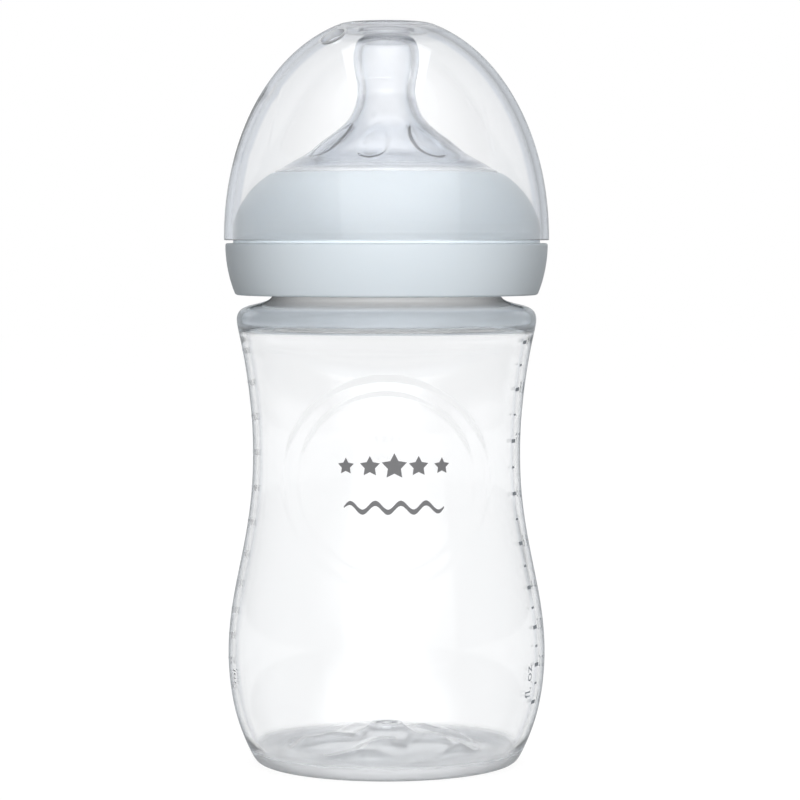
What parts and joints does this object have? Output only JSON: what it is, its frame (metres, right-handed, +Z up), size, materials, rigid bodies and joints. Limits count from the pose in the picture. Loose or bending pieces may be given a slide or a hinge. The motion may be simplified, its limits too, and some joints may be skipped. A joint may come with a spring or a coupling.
{
  "type": "baby bottle",
  "caption": "Waisted clear baby bottle with a soft teat, a screw ring that unscrews and lifts the teat, and a clear dome cap that pulls off.",
  "frame": {"origin": "centre of the foot ring, on the plane the bottle stands on", "axes": "+Z up through the neck and teat, front (the round dish) towards -Y, the measuring scale towards +X"},
  "size_m": [0.0724, 0.0724, 0.165],
  "materials": {
    "clear_pp": "clear, faintly milky",
    "ring_pp": "satin, pale blue-grey",
    "silicone": "satin, translucent",
    "cap_pp": "clear"
  },
  "bodies": {
    "bottle": {"bottle_body": "clear_pp"},
    "teat": {"teat": "silicone"},
    "ring": {"screw_ring": "ring_pp"},
    "cap": {"dome_cap": "cap_pp"}
  },
  "joints": [
    {"name": "teat_lift", "type": "slide", "parent": "bottle", "child": "teat", "axis": [0, 0, 1], "range_m": [0, 0.0063]},
    {"name": "ring_unscrew", "type": "hinge", "parent": "teat", "child": "ring", "pos_m": [0, 0, 0.115], "axis": [0, 0, 1], "range_deg": [0, 450]},
    {"name": "cap_pull", "type": "slide", "parent": "ring", "child": "cap", "axis": [0, 0, 1], "range_m": [0, 0.06]}
  ],
  "couplings": [
    {"joint": "teat_lift", "follows": "ring_unscrew", "m_per_rad": 0.00079577}
  ]
}
